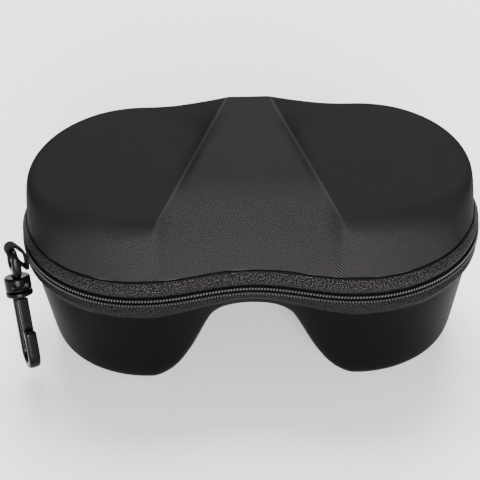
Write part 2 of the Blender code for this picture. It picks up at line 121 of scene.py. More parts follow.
class CaseColours(bpy.types.PropertyGroup):
    cloth: tint("Lid cloth", (0.0050, 0.0049, 0.0050), "Twill cloth of the lid")
    base: tint("Base cloth", (0.0014, 0.0014, 0.0015), "Satin cloth of the base")
    tape: tint("Tape", (0.0043, 0.00405, 0.0043), "Knitted zip tape")
    lining: tint("Lining", (0.0045, 0.0045, 0.0047), "Knitted lining")
    hook: tint("Hook", (0.0020, 0.0020, 0.0022), "Moulded snap hook")


# Shader expressions -----------------------------------------------------------------------
class Signal:
    """A socket in a material; arithmetic on it adds Math nodes."""

    def __init__(self, finish, socket):
        self.finish = finish
        self.socket = socket

    def math(self, operation, *values):
        return self.finish.node("ShaderNodeMath", {"operation": operation},
                                dict(enumerate(values)))

    def __add__(self, other):
        return self.math("ADD", self, other)

    def __sub__(self, other):
        return self.math("SUBTRACT", self, other)

    def __rsub__(self, other):
        return self.math("SUBTRACT", other, self)

    def __mul__(self, other):
        return self.math("MULTIPLY", self, other)

    def __truediv__(self, other):
        return self.math("DIVIDE", self, other)

    def __pow__(self, other):
        return self.math("POWER", self, other)

    def __abs__(self):
        return self.math("ABSOLUTE", self)

    __radd__ = __add__

    def sin(self):
        return self.math("SINE", self)

    def clip(self):
        return self.math("MINIMUM", self.math("MAXIMUM", self, 0), 1)

    def ramp(self, low, high):
        """0 at low, 1 at high, even between and level outside; it falls where low is larger."""
        return ((self - low) / (high - low)).clip()

    def wave(self, pitch):
        """A sine of a length, from 0 to 1, that repeats at the pitch."""
        return (self * (math.tau / pitch)).sin() * 0.5 + 0.5


class Finish:
    """One procedural material, built node by node."""

    def __init__(self, name):
        self.material = bpy.data.materials.new(name)
        self.material.use_nodes = True
        self.tree = self.material.node_tree
        self.shader = self.tree.nodes["Principled BSDF"]

    def node(self, kind, settings=None, values=None, output=0):
        """Add a node, set its settings first and then its sockets, and return an output."""
        made = self.tree.nodes.new(kind)
        for name, value in (settings or {}).items():
            setattr(made, name, value)
        for key, value in (values or {}).items():
            self.feed(made.inputs[key], value)
        return Signal(self, made.outputs[output])

    def feed(self, socket, value):
        if isinstance(value, Signal):
            self.tree.links.new(value.socket, socket)
        else:
            socket.default_value = value

    def axes(self, vector):
        """The three numbers of a vector."""
        return [self.node("ShaderNodeSeparateXYZ", None, {0: vector}, i) for i in range(3)]

    def cloth_uv(self):
        return self.node("ShaderNodeUVMap", {"uv_map": "cloth"})

    def place(self):
        return self.node("ShaderNodeTexCoord", output=3)

    def noise(self, vector, scale, detail=2.0):
        return self.node("ShaderNodeTexNoise", {"noise_dimensions": "3D"},
                         {"Vector": vector, "Scale": scale, "Detail": detail})

    def mix(self, factor, low, high):
        """A colour from low to high, each a socket or four numbers, as factor goes 0 to 1."""
        return self.node("ShaderNodeMix", {"data_type": "RGBA"}, {0: factor, 6: low, 7: high}, 2)

    def tint(self, factor, low, high):
        """The same between two colours of three numbers."""
        return self.mix(factor, (*low, 1), (*high, 1))

    def bump(self, height, distance, strength=1.0):
        self.feed(self.shader.inputs["Normal"], self.node(
            "ShaderNodeBump", None, {"Strength": strength, "Distance": distance, "Height": height}))

    def surface(self, **values):
        """Feed the shader's sockets, named with underscores for spaces."""
        for name, value in values.items():
            self.feed(self.shader.inputs[name.replace("_", " ")], value)
        return self.material


def scaled(colour, factor):
    return tuple(min(channel * factor, 1) for channel in colour)


def twill_cloth(name, colour, pitch, relief, roughness):
    """Twill: diagonal ribs cut into threads, over a faint mottle.

    The mould pressed the weave flat and dark on the panels.  A painted highlight makes it a little
    lighter over the ridge, and a painted highlight line, lighter still, runs along the crease.  Round
    the nose's front wall the weave is open and grainy, and a painted sheen makes it light.  beyond is
    the distance outside the crease's leaning plane."""
    cloth = Finish(name)
    u, v, _ = cloth.axes(cloth.cloth_uv())
    x, y, z = cloth.axes(cloth.place())
    across, plan_y, height = abs(x), y - PLAN_Y, z - ZIP_Z
    widening = (CREASE_FRONT - CREASE_BACK) / (RIDGE_BACK - RIDGE_FRONT)
    beyond = across + height * CREASE_LEAN - (RIDGE_BACK - plan_y) * widening - CREASE_BACK
    off_rear_wall = plan_y.ramp(47.5 * MM, 41.5 * MM)
    ridge = beyond.ramp(1 * MM, -1 * MM) * off_rear_wall
    hood = plan_y.ramp(-13 * MM, -27 * MM) * ridge
    front_wall = height.ramp(29.5 * MM, 23.5 * MM) * plan_y.ramp(-30 * MM, -40 * MM)
    lobe = across.ramp(40 * MM, 70 * MM)
    # Where the open weave and a painted sheen go: the hood and the nose's front wall, the sheen a
    # little weaker towards the outer lobes.
    nose = hood.math("MAXIMUM", hood, front_wall * (1 - lobe * 0.4))
    on_top = height.ramp(28.5 * MM, 30.5 * MM)
    # Painted highlight: a thin light line along the crease, where the fold catches the light.
    fold = abs(beyond).ramp(0.9 * MM, 0) * on_top * off_rear_wall
    rib, thread = (u * 0.78 + v * 0.62).wave(pitch), (u * 0.62 - v * 0.78).wave(pitch / 1.3)
    weave = rib * (thread * 0.5 + 0.5)
    mottle = cloth.noise(cloth.place(), 90.0, 3.0)
    grain = cloth.noise(cloth.cloth_uv(), 1500.0, 2.0)
    # Random mottle and weave tone, plus a painted highlight that lightens the ridge.
    tone_and_ridge_highlight = (weave * 0.25 + mottle * 0.45 + ridge * 0.42).clip()
    pressed = cloth.tint(tone_and_ridge_highlight, scaled(colour, 0.85), scaled(colour, 2.6))
    # Open, grainy weave, with a painted sheen that colours the nose much lighter, as the front light
    # would.
    open_weave_and_sheen = cloth.tint((weave * 1.2 + grain * 0.9 - 0.45).clip(), scaled(colour, 0.7),
                        scaled(colour, 6.7))
    cover = cloth.mix(nose, pressed, open_weave_and_sheen)
    cloth.bump(weave * (nose * 0.8 + 0.2), relief)
    # The painted highlight line along the crease is mixed over the cover colour.
    return cloth.surface(Base_Color=cloth.mix(fold * 0.75, cover, (*scaled(colour, 5.2), 1)),
                         Roughness=mottle * 0.12 + (roughness - 0.06), Specular_IOR_Level=0.02)


def satin_cloth(name, colour):
    """Fine smooth cloth with slow changes of gloss where it stretched in the mould."""
    cloth = Finish(name)
    u, v, _ = cloth.axes(cloth.cloth_uv())
    turn = math.tau / (0.42 * MM)
    weave = (u * turn).sin() * (v * turn).sin() * 0.5 + 0.5
    slow = cloth.noise(cloth.place(), 38.0, 2.0)
    base = cloth.tint((weave * 0.4 + slow * 0.6).clip(), scaled(colour, 0.75), scaled(colour, 1.3))
    cloth.bump(weave, 0.012 * MM)
    return cloth.surface(Base_Color=base, Roughness=slow * 0.14 + 0.44, Specular_IOR_Level=0.03)


def knit_cloth(name, colour, wale, course, relief, contrast, edges=None):
    """Knit: columns of stitches, each a pair of slanting legs, with thread-by-thread variation.

    edges are two heights above or below the zip plane, beyond which a tape lies in shadow: its
    woven gutter beside the coil, and its sewn edge under the cover."""
    cloth = Finish(name)
    u, v, _ = cloth.axes(cloth.cloth_uv())
    lean = (v * (math.pi / course)).sin() * (0.35 * wale)
    stitch = (u + lean).wave(wale) * (v.wave(course) * 0.6 + 0.4)
    flat = cloth.node("ShaderNodeCombineXYZ", None, {0: u, 1: v, 2: 0.0})
    speck = cloth.noise(flat, 1.7 / wale, 1.0)
    lively = ((speck - 0.52) * (5 * contrast) + stitch * 0.6 + 0.05).clip()
    if edges:
        height = abs(cloth.axes(cloth.place())[2] - ZIP_Z)
        near, far = edges
        lively = lively * height.ramp(near, near + 0.5 * MM) * height.ramp(far, far - 0.4 * MM)
    base = cloth.tint(lively ** 1.4, scaled(colour, 0.1), scaled(colour, 7.5))
    cloth.bump(stitch * 0.6 + speck * 0.8, relief)
    return cloth.surface(Base_Color=base, Roughness=0.75 - lively * 0.2, Specular_IOR_Level=0.08)


def ribbed_cloth(name, colour, rib):
    """Ribbed tape: rounded cross ribs of fine threads."""
    cloth = Finish(name)
    u, v, _ = cloth.axes(cloth.cloth_uv())
    ribs = u.wave(rib)
    weave = ribs * 0.7 + v.wave(rib * 0.45) * 0.3
    base = cloth.tint(weave.clip(), scaled(colour, 0.5), scaled(colour, 1.5))
    cloth.bump(weave, 0.08 * MM)
    return cloth.surface(Base_Color=base, Roughness=0.85 - ribs * 0.12, Specular_IOR_Level=0.08)


def foam_core(name):
    """Closed-cell foam: fine cells over a matt body."""
    foam = Finish(name)
    cells = foam.node("ShaderNodeTexVoronoi", {"feature": "F1"},
                      {"Vector": foam.place(), "Scale": 1600.0})
    foam.bump(cells, 0.05 * MM)
    return foam.surface(Base_Color=foam.tint(cells, (0.012,) * 3, (0.03,) * 3),
                        Roughness=0.92 - cells * 0.1)


def glossy_moulding(name, colour, roughness, gloss):
    """Moulded plastic with a faint flow ripple and worn, duller patches."""
    plastic = Finish(name)
    place = plastic.place()
    flow = plastic.noise(place, 260.0, 2.0)
    wear_and_highlight = plastic.noise(place, 900.0, 4.0)
    plastic.bump(flow, 0.02 * MM, 0.15)
    base = plastic.tint(wear_and_highlight, scaled(colour, 0.8), scaled(colour, 1.4))
    return plastic.surface(Base_Color=base, Roughness=roughness + wear_and_highlight * 0.08,
                           Specular_IOR_Level=gloss)


def lacquered_casting(name):
    """Black lacquer over a die casting, worn a little lighter in patches."""
    metal = Finish(name)
    wear = metal.noise(metal.place(), 700.0, 4.0)
    metal.bump(wear, 0.02 * MM, 0.4)
    return metal.surface(Base_Color=metal.tint(wear, (0.012,) * 3, (0.055,) * 3),
                         Roughness=0.22 + wear * 0.22, Metallic=0.6)


# Plan outline and surfaces ----------------------------------------------------------------
def between(low, high, value):
    """Smooth step of value from low to high."""
    t = np.clip((value - low) / (high - low), 0, 1)
    return t * t * (3 - 2 * t)


def stations(distance):
    """Spine point and outward direction at distances round the zip line from the rear centre.

    The line is a stadium: a straight of SPINE, a half circle of END_RADIUS, a straight of twice
    SPINE along the front, the other half circle and a straight of SPINE back to the start."""
    s = np.mod(distance, LAP)
    turn = math.pi * END_RADIUS
    right, front, left = SPINE, SPINE + turn, 3 * SPINE + turn
    last = left + turn
    angle = np.where(s < front, math.pi / 2 - (s - right) / END_RADIUS,
                     -math.pi / 2 - (s - left) / END_RADIUS)
    on_end = ((s >= right) & (s < front)) | ((s >= left) & (s < last))
    spine = np.select([s < right, s < front, s < left, s < last],
                      [s, SPINE + 0 * s, SPINE - (s - front), -SPINE + 0 * s], s - LAP)
    out_x = np.where(on_end, np.cos(angle), 0)
    out_y = np.where(on_end, np.sin(angle), np.where((s >= front) & (s < left), -1, 1))
    return spine, out_x, out_y


def brow(x):
    """Cosine window over the nose: 1 on the middle plane, 0 from BROW_HALF outward."""
    return 0.5 + 0.5 * np.cos(np.pi * np.clip(np.abs(x) / BROW_HALF, 0, 1))


def ring(columns, inset):
    """Plan points set in from the zip line; the front is drawn in at the nose."""
    spine, out_x, out_y = columns
    reach = END_RADIUS - inset
    x = spine + out_x * reach
    y = out_y * reach
    on_front = (out_y < 0) & (np.abs(spine) < SPINE) | (np.abs(out_x) < 1e-9) & (out_y < 0)
    return x, y + np.where(on_front, brow(x) * BROW_DEPTH * reach / END_RADIUS, 0)


def inset_at(x, y):
    """Distance from the zip line to any point of the plan, the inverse of ring()."""
    over = np.clip(np.abs(x) - SPINE, 0, None)
    drawn = np.where((y < 0) & (over == 0), 1 - brow(x) * BROW_DEPTH / END_RADIUS, 1)
    return END_RADIUS - np.hypot(over, y / drawn)


def frontness(x, y):
    """1 where the nearest wall faces the front, -1 at the rear, 0 at the ends."""
    over = np.clip(np.abs(x) - SPINE, 0, None)
    return -y / np.maximum(np.hypot(over, y), 1e-6)


def shoulder(inset, rise, draft, radius):
    """A drafted wall rounded into a top that stands rise above its foot.

    The wall is inset / tan(draft); the rounding is the circle of that radius tangent to the
    wall and to the level top."""
    rise = np.maximum(rise, 0.3 * MM)
    radius = np.minimum(radius, 0.6 * rise)
    sin, cos = np.sin(draft), np.cos(draft)
    a = radius - inset * cos
    b = radius - rise
    k = 1 + sin * sin
    half = a * sin + b
    root = np.sqrt(np.maximum(half * half - k * (a * a + b * b - radius * radius), 0))
    wall_end = (rise - radius) * sin / cos
    top_start = (radius + rise * sin) / cos
    return np.where(inset < wall_end, inset * cos / sin,
                    np.where(inset > top_start, rise, (root - half) / k))


def lid_form(x, y, fillet=0.0):
    """Outer face of the lid: a nose hood between two pitched panels, above a drafted wall.

    The hood is an arc of nose_radius in side view and its sides droop with the cube of the
    distance across.  Hood and panel meet in a crease that lies in a leaning plane, where half
    width plus CREASE_LEAN of the height grows evenly to the front, and it stands above the panel
    by RIDGE_STEP times a square that fades to the front.  The hood comes to it in t^2 over
    CREST_RUN inside, and the panel leaves it in (1 - t)^2 over SKIRT, or REAR_SKIRT more at the
    rear."""
    shape = bpy.context.scene.case_shape
    across = np.abs(x)
    level_y = y + (1 - brow(x)) * BROW_DEPTH * between(0, -END_RADIUS, y)
    hood = shape.ridge_top - shape.nose_radius + np.sqrt(np.maximum(
        shape.nose_radius ** 2 - np.minimum(level_y - shape.nose_start, 0) ** 2, 0))
    along = (RIDGE_BACK - y) / (RIDGE_BACK - RIDGE_FRONT)
    rise = RIDGE_STEP * np.clip(1.13 - 1.15 * along, 0, 1) ** 2
    middle = shape.panel_top + PANEL_PITCH * y + PANEL_ROLL * 45 * MM
    half = (CREASE_BACK + along * (CREASE_FRONT - CREASE_BACK) - CREASE_LEAN * (middle + rise)) / (
        1 - CREASE_LEAN * PANEL_ROLL)
    half = np.maximum(half, 8 * MM)
    panel = middle - PANEL_ROLL * across
    crest = middle - PANEL_ROLL * half + rise
    forward = between(12 * MM, -24 * MM, y)
    hood = hood - HOOD_DROOP * forward * np.clip(across / half, 0, 1.2) ** 3
    inward = np.clip(1 - (half - across) / CREST_RUN, 0, 1)
    skirt = SKIRT + REAR_SKIRT * between(20 * MM, 44 * MM, y)
    outward = np.clip((across - half) / skirt, 0, 1)
    inside = hood + (crest - hood) * inward ** 2
    outside = panel + (crest - panel) * (1 - outward) ** 2
    top = np.where(across < half, inside, outside)
    front = np.clip(frontness(x, y), 0, 1) ** 2
    rear = np.clip(-frontness(x, y), 0, 1) ** 2
    draft = np.radians(LID_DRAFT + REAR_DRAFT * rear ** 2 + FRONT_DRAFT * front)
    soft = 3.5 + 12 * between(42 * MM, 82 * MM, across)
    corner = 3.6 + 2.6 * between(70 * MM, 30 * MM, across)
    radius = (corner * (1 - front) + soft * front) * MM + fillet
    return SEAM + shoulder(inset_at(x, y) - LID_INSET, top - SEAM, draft, radius)


def tuck(x, y):
    """Extra inward lean of the lower band over the nose recess."""
    return NOSE_TUCK * brow(x) * between(0, -30 * MM, y)


def base_form(x, y, fillet=0.0):
    """Outer face of the base: a drafted wall and a flat bottom, less an arched nose recess.

    The recess rises as 1 - along^2 from front to rear, and across as a bell with flat top and
    steep sides, 1 / (1 + (|x| / half)^4.7), lowered a little so that it ends."""
    along = np.clip((y - RECESS_FRONT) / (RECESS_BACK - RECESS_FRONT), 0, 1)
    half = RECESS_HALF * (1 - 0.3 * along)
    bell = 1.06 / (1 + (np.abs(x) / half) ** 4.7) - 0.06
    recess = RECESS_RISE * (1 - along ** 2) * np.maximum(bell, 0)
    front = np.clip(frontness(x, y), 0, 1) ** 2
    draft = np.radians(BASE_DRAFT + NOSE_DRAFT * recess / RECESS_RISE * front)
    wall = inset_at(x, y) - BASE_INSET - tuck(x, y)
    radius = (7.5 + 1.5 * front) * MM + fillet
    return -SEAM - shoulder(wall, BASE_DEPTH - SEAM - recess, draft, radius)


def softened(form, reach, fillet=0.0):
    """A form averaged over a small disc, which rounds its creases to about that reach.

    A fillet is added to its shoulder, so that an inner layer doesn't fold in the corner."""
    angles = np.radians(np.arange(0, 360, 45))

    def averaged(x, y):
        total = 2 * form(x, y, fillet)
        for angle in angles:
            total = total + form(x + reach * math.cos(angle), y + reach * math.sin(angle), fillet)
        return total / (len(angles) + 2)

    return averaged


def profile_insets(form, columns, first, rows):
    """Insets, rows by columns, spaced evenly along each column's own profile from its edge."""
    fine = np.linspace(0, 1, 700)[:, None] ** 1.5
    inset = first + (END_RADIUS - first) * fine + 0 * columns[0]
    x, y = ring(columns, inset)
    z = form(x, y)
    step = np.sqrt(np.diff(x, axis=0) ** 2 + np.diff(y, axis=0) ** 2 + np.diff(z, axis=0) ** 2)
    run = np.concatenate([np.zeros((1, inset.shape[1])), np.cumsum(step, axis=0)])
    run = run / run[-1]
    column = np.arange(inset.shape[1])
    wanted = np.linspace(0, 1, rows)[:, None] + 2 * column
    flat = np.interp(wanted.T.ravel(), (run + 2 * column).T.ravel(), inset.T.ravel())
    return flat.reshape(len(column), rows).T


def sunk(form, x, y, depth, side):
    """Points at a depth below a form, measured along its normal."""
    step = 0.15 * MM
    slope_x = (form(x + step, y) - form(x - step, y)) / (2 * step)
    slope_y = (form(x, y + step) - form(x, y - step)) / (2 * step)
    normal = np.stack([-slope_x, -slope_y, np.ones_like(x)], axis=-1) * side
    normal /= np.linalg.norm(normal, axis=-1, keepdims=True)
    return np.stack([x, y, form(x, y)], axis=-1) - normal * depth


STRIP = {"wrap_rows": True, "wrap_columns": False, "caps": True}    # a closed bar with two ends


def grid_piece(name, grid, wrap_rows=False, wrap_columns=True, caps=False, cloth=None,
               origin=(0, PLAN_Y, ZIP_Z)):
    """A mesh from rows by columns of points; the seams and poles are merged.

    cloth is a pair of arrays, the cloth coordinates of the grid's lines, each with one more
    entry than the grid where that direction closes."""
    rows, count = grid.shape[:2]
    row = np.arange(rows if wrap_rows else rows - 1)[:, None]
    column = np.arange(count if wrap_columns else count - 1)[None, :]
    after_row, after = (row + 1) % rows, (column + 1) % count
    quads = np.stack([row * count + column, row * count + after,
                      after_row * count + after, after_row * count + column], axis=-1)
    faces = quads.reshape(-1, 4).tolist()
    if caps and wrap_rows:
        faces.append((np.arange(rows) * count).tolist())
        faces.append((np.arange(rows) * count + count - 1).tolist())
    if caps and not wrap_rows:
        faces.append(np.arange(count).tolist())
        faces.append(((rows - 1) * count + np.arange(count)).tolist())
    mesh = bpy.data.meshes.new(name)
    mesh.from_pydata(grid.reshape(-1, 3) + origin, [], faces)
    if cloth is not None:
        along, across = cloth
        corners = [(column, row), (column + 1, row), (column + 1, row + 1), (column, row + 1)]
        uv = np.stack([np.stack([np.broadcast_to(along[c], quads.shape[:2]),
                                 np.broadcast_to(across[r], quads.shape[:2])], axis=-1)
                       for c, r in corners], axis=2).reshape(-1, 2)
        whole = np.zeros((len(mesh.loops), 2))
        whole[:len(uv)] = uv
        write_uv(mesh, whole)
    return settle(name, mesh)


def linked(name, mesh, sharp):
    """Shade a mesh smooth up to an angle in degrees and link it as an object."""
    mesh.shade_smooth()
    mesh.set_sharp_from_angle(angle=math.radians(sharp))
    piece = bpy.data.objects.new(name, mesh)
    bpy.context.scene.collection.objects.link(piece)
    return piece


def settle(name, mesh):
    """Merge doubles, point the faces outward and link the object."""
    work = bmesh.new()
    work.from_mesh(mesh)
    bmesh.ops.remove_doubles(work, verts=work.verts, dist=1e-6)
    bmesh.ops.dissolve_degenerate(work, edges=work.edges, dist=1e-7)
    bmesh.ops.recalc_face_normals(work, faces=work.faces)
    work.to_mesh(mesh)
    work.free()
    return linked(name, mesh, SHARP_FORMED)


def write_uv(mesh, uv):
    """Store a pair per face corner, in metres along the cloth, as the UV map cloth."""
    layer = mesh.uv_layers.new(name="cloth")
    layer.uv.foreach_set("vector", uv.astype(np.float32).ravel())


def drape_uv(mesh, form):
    """Cloth coordinates over a form: the lengths along x and along y over the form's surface."""
    xs = np.linspace(-104 * MM, 104 * MM, 417)
    ys = np.linspace(-58 * MM, 58 * MM, 465)
    z = form(*np.meshgrid(xs, ys, indexing="ij"))
    along_x = np.cumsum(np.hypot(np.gradient(xs)[:, None], np.gradient(z, axis=0)), axis=0)
    along_y = np.cumsum(np.hypot(np.gradient(ys)[None, :], np.gradient(z, axis=1)), axis=1)
    along_x -= along_x[len(xs) // 2]
    along_y -= along_y[:, len(ys) // 2][:, None]
    co = np.empty(len(mesh.vertices) * 3, np.float32)
    mesh.vertices.foreach_get("co", co)
    x, y, _ = co.reshape(-1, 3).astype(float).T
    fx = np.clip((x - xs[0]) / (xs[1] - xs[0]), 0, len(xs) - 1.001)
    fy = np.clip((y - PLAN_Y - ys[0]) / (ys[1] - ys[0]), 0, len(ys) - 1.001)
    ix, iy = fx.astype(int), fy.astype(int)
    tx, ty = fx - ix, fy - iy

    def read(table):
        near = table[ix, iy] * (1 - ty) + table[ix, iy + 1] * ty
        far = table[ix + 1, iy] * (1 - ty) + table[ix + 1, iy + 1] * ty
        return near * (1 - tx) + far * tx

    corner = np.empty(len(mesh.loops), np.int32)
    mesh.loops.foreach_get("vertex_index", corner)
    write_uv(mesh, np.stack([read(along_x), read(along_y)], axis=1)[corner])


def give(piece, material, body, slot, *nodes):
    """Put a finish on a piece and let it ride on a body in place of its CAD nodes."""
    piece.data.materials.clear()
    piece.data.materials.append(material)
    if body:
        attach(piece, body)
    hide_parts(*nodes)
    return piece


# Shells -----------------------------------------------------------------------------------
def edge_ring(columns, inset, up, side):
    """A ring near the zip; on the base it leans with the band that tucks under the nose."""
    x, y = ring(columns, inset)
    if side < 0:
        x, y = ring(columns, inset + tuck(x, y) * min(up / SEAM, 1))
    return np.stack([x, y, side * up + 0 * x], axis=-1)


def layer(name, side, form_out, form_in, depth, thickness, skirt, rows, count):
    """A closed layer of a shell: outer face, upright skirt by the zip, inner face.

    Both faces run from the edge of the cover to the spine line, where they close."""
    columns = stations(np.arange(count) * LAP / count)
    first = LID_INSET if side > 0 else BASE_INSET
    faces = []
    for form, sink, number in ((form_out, depth, rows), (form_in, depth + thickness, rows // 4)):
        insets = profile_insets(form, columns, first, number)
        x, y = ring(columns, insets)
        if side < 0:
            lean = tuck(x, y) * (1 - insets / END_RADIUS)
            x, y = ring(columns, insets + lean)
        faces.append(sunk(form, x, y, sink, side))
    outer, inner = faces
    down = [edge_ring(columns, inset, up, side)[None] for inset, up in skirt]
    back = [edge_ring(columns, inset + thickness, up, side)[None] for inset, up in skirt[::-1]]
    return grid_piece(name, np.concatenate([outer[::-1], *down, *back, inner]))


def band_piece(name, section, side, start, stop, count, wave=0.0):
    """A closed (inset, height) section carried along the zip line from start to stop.

    Section points are in millimetres; wave is the height by which the band's edges wander."""
    distance = np.linspace(start, stop, count)
    columns = stations(distance)
    drift = wave * (np.sin(distance * 210) + 0.6 * np.sin(distance * 437 + 1))
    rows = []
    for inset, up in section:
        row = edge_ring(columns, inset * MM, up * MM, side)
        row[:, 2] += side * drift * (up / 10)
        rows.append(row)
    whole = stop - start > LAP - 1e-6
    if whole:
        rows = [row[:-1] for row in rows]
    outline = np.array([*section, section[0]]) * MM
    girth = np.concatenate([[0], np.cumsum(np.hypot(*np.diff(outline, axis=0).T))])
    return grid_piece(name, np.stack(rows), wrap_rows=True, wrap_columns=whole, caps=not whole,
                      cloth=(distance, girth))


def rounded(section, radius=0.25, steps=3, closed=True):
    """A section with its corners rounded by quadratic curves; an open one keeps its ends."""
    points = np.array(section, float)
    count = len(points)
    made = [] if closed else [points[0]]
    for i in range(count) if closed else range(1, count - 1):
        before, here, after = points[i - 1], points[i], points[(i + 1) % count]
        into, away = before - here, after - here
        reach = min(radius, 0.45 * np.linalg.norm(into), 0.45 * np.linalg.norm(away))
        start = here + into / np.linalg.norm(into) * reach
        end = here + away / np.linalg.norm(away) * reach
        for t in np.linspace(0, 1, steps):
            made.append(start * (1 - t) ** 2 + 2 * here * t * (1 - t) + end * t * t)
    return made if closed else [*made, points[-1]]


class CASE_OT_lid_shell(bpy.types.Operator):
    """Build the lid's cover, foam core and lining"""
    bl_idname = "goggle_case.lid_shell"
    bl_label = "Lid shell"

    def execute(self, context):
        shape, colours = context.scene.case_shape, context.scene.case_colours
        crisp, soft = softened(lid_form, shape.crease), softened(lid_form, 4 * MM, 6 * MM)
        cover = layer("lid_cloth_cover", 1, crisp, crisp, 0, COVER, (), 140, 560)
        drape_uv(cover.data, crisp)
        give(cover, twill_cloth("lid_twill", colours.cloth, shape.twill_pitch, 0.14 * MM, 0.64),
             "lid", "cover_cloth", "lid_cover")
        build_core_and_lining("lid", 1, crisp, soft, colours)
        return {"FINISHED"}


class CASE_OT_base_shell(bpy.types.Operator):
    """Build the base's cover, foam core and lining"""
    bl_idname = "goggle_case.base_shell"
    bl_label = "Base shell"

    def execute(self, context):
        shape, colours = context.scene.case_shape, context.scene.case_colours
        crisp, soft = softened(base_form, shape.crease), softened(base_form, 4 * MM, 3 * MM)
        cover = layer("base_cloth_cover", -1, crisp, crisp, 0, COVER, (), 140, 560)
        drape_uv(cover.data, crisp)
        give(cover, satin_cloth("base_satin", colours.base), "base", "cover_cloth", "base_cover")
        build_core_and_lining("base", -1, crisp, soft, colours)
        return {"FINISHED"}


def build_core_and_lining(word, side, crisp, soft, colours):
    """The two hidden and inner layers of a shell, below its cover."""
    gap, glue = 0.3 * MM, 0.5 * MM
    foam_skirt = ((1.6 * MM, CUFF), (1.6 * MM, RIM))
    foam = layer(word + "_foam_core", side, crisp, soft, COVER + gap, CORE, foam_skirt, 70, 240)
    give(foam, foam_core(word + "_foam"), word, "eva_foam", word + "_foam_shell")
    sink = COVER + gap + CORE + glue
    lining_skirt = tuple((inset + CORE + glue, up) for inset, up in foam_skirt)
    lining = layer(word + "_knit_lining", side, soft, soft, sink, LINING, lining_skirt, 80, 320)
    drape_uv(lining.data, soft)
    give(lining, knit_cloth(word + "_tricot", colours.lining, 0.9 * MM, 0.7 * MM, 0.08 * MM, 0.8),
         word, "lining_tricot", word + "_lining")


class CASE_OT_bands(bpy.types.Operator):
    """Build the rim bindings and the knitted zip tapes"""
    bl_idname = "goggle_case.bands"
    bl_label = "Bindings and tapes"

    def execute(self, context):
        colours = context.scene.case_colours
        # Painted shade: the lower tape is the same knitted tape, its colour darkened to 0.46.
        tapes = {"upper": colours.tape, "lower": scaled(colours.tape, 0.46)}
        binding_cloth = ribbed_cloth("rim_ribbed", colours.lining, 0.9 * MM)
        out = ((0.8, 0.6), (0.8, 2.2), (0.1, 3.2), (-0.6, 5.6), (1.5, 9.6))
        inner = [(max(inset, 0) + 0.8, up) for inset, up in out[::-1]]
        tape = rounded([*out, *inner], 0.9, 5)
        inside = 1.6 + CORE / MM + 0.5 + LINING / MM + 0.3
        rim, cuff = RIM / MM, CUFF / MM
        binding = rounded([(1.6, rim - 0.9), (inside + 0.6, rim - 0.9), (inside + 0.6, cuff),
                           (inside, cuff), (inside, rim - 0.3), (1.6, rim - 0.3)], 0.25, 4)
        for word, body, side in (("upper", "lid", 1), ("lower", "base", -1)):
            strip = band_piece("zip_tape_" + word + "_knit", tape, side, SPINE, LAP - SPINE, 700,
                               0.25 * MM)
            knit = knit_cloth("tape_knit_" + word, tapes[word], 1.0 * MM, 0.85 * MM, 0.22 * MM,
                              1.5, (2.5 * MM, 9.3 * MM))
            give(strip, knit, body, "zip_tape", "zip_tape_" + word)
            edge = band_piece(body + "_edge_binding", binding, side, 0, LAP, 481)
            give(edge, binding_cloth, body, "binding_cloth", body + "_rim_binding")
        return {"FINISHED"}


def coil_piece(name, side, start, stop, pitch, shift):
    """A nylon coil: a round wire wound as a helix, one turn to a tooth.

    Along the zip line at distance s the wire's centre is at inset -0.15 + 0.5 cos(p) and height
    1.2 + 0.5 sin(p) millimetres, with p = 2 pi s / pitch; its section is a pentagon."""
    turns = int((stop - start) / pitch)
    p = np.arange(turns * 12 + 1) * (math.tau / 12)
    distance = start + (p / math.tau + shift) * pitch
    columns = stations(distance)
    inset = (-0.15 + 0.5 * np.cos(p)) * MM
    up = (1.2 + 0.5 * np.sin(p)) * MM
    x, y = ring(columns, inset)
    centre = np.stack([x, y, side * up], axis=-1)
    tangent = np.gradient(centre, axis=0)
    tangent /= np.linalg.norm(tangent, axis=1, keepdims=True)
    middle_x, middle_y = ring(columns, -0.15 * MM)
    middle = np.stack([middle_x, middle_y, side * 1.2 * MM + 0 * x], axis=-1)
    first = centre - middle
    first -= tangent * np.sum(first * tangent, axis=1, keepdims=True)
    first /= np.linalg.norm(first, axis=1, keepdims=True)
    second = np.cross(tangent, first)
    around = np.arange(5) * (math.tau / 5)
    grid = centre[None] + 0.32 * MM * (np.cos(around)[:, None, None] * first[None]
                                       + np.sin(around)[:, None, None] * second[None])
    return grid_piece(name, grid, **STRIP, cloth=(p * MM, np.arange(6) * MM))


def coil_nylon(name, colour):
    """Glossy nylon with a painted highlight on the outer bend of each turn.

    The cloth coordinate u is the angle along the helix in thousandths, pi at the outer bend."""
    nylon = Finish(name)
    u, _, _ = nylon.axes(nylon.cloth_uv())
    # Painted highlight: the outer bend of each turn is coloured lighter, like a glint; colour is the
    # highlight's colour.
    outer = ((u / MM + math.pi / 2).sin() * -1.7 - 0.7).clip()
    scuff = nylon.noise(nylon.place(), 500.0, 2.0)
    nylon.bump(scuff, 0.02 * MM, 0.4)
    return nylon.surface(Base_Color=nylon.tint(outer, scaled(colour, 0.05), colour),
                         Roughness=0.34 + scuff * 0.1, Specular_IOR_Level=0.08)


class CASE_OT_coils(bpy.types.Operator):
    """Build the two rows of nylon coil"""
    bl_idname = "goggle_case.coils"
    bl_label = "Zip coils"

    def execute(self, context):
        # Painted highlight colours for the coils' outer bends; the lower row's is darker as painted
        # shade.
        wear_and_highlight = {"upper": (0.066, 0.064, 0.066), "lower": (0.042, 0.041, 0.042)}
        pitch = context.scene.case_shape.tooth_pitch
        start, stop = SPINE + 6 * MM, LAP - SPINE - 6 * MM
        for word, body, side, shift in (("upper", "lid", 1, 0.0), ("lower", "base", -1, 0.5)):
            coil = coil_piece("zip_teeth_" + word, side, start, stop, pitch, shift)
            give(coil, coil_nylon("coil_nylon_" + word, wear_and_highlight[word]), body, "zip_coil",
                 "zip_coil_" + word)
        return {"FINISHED"}


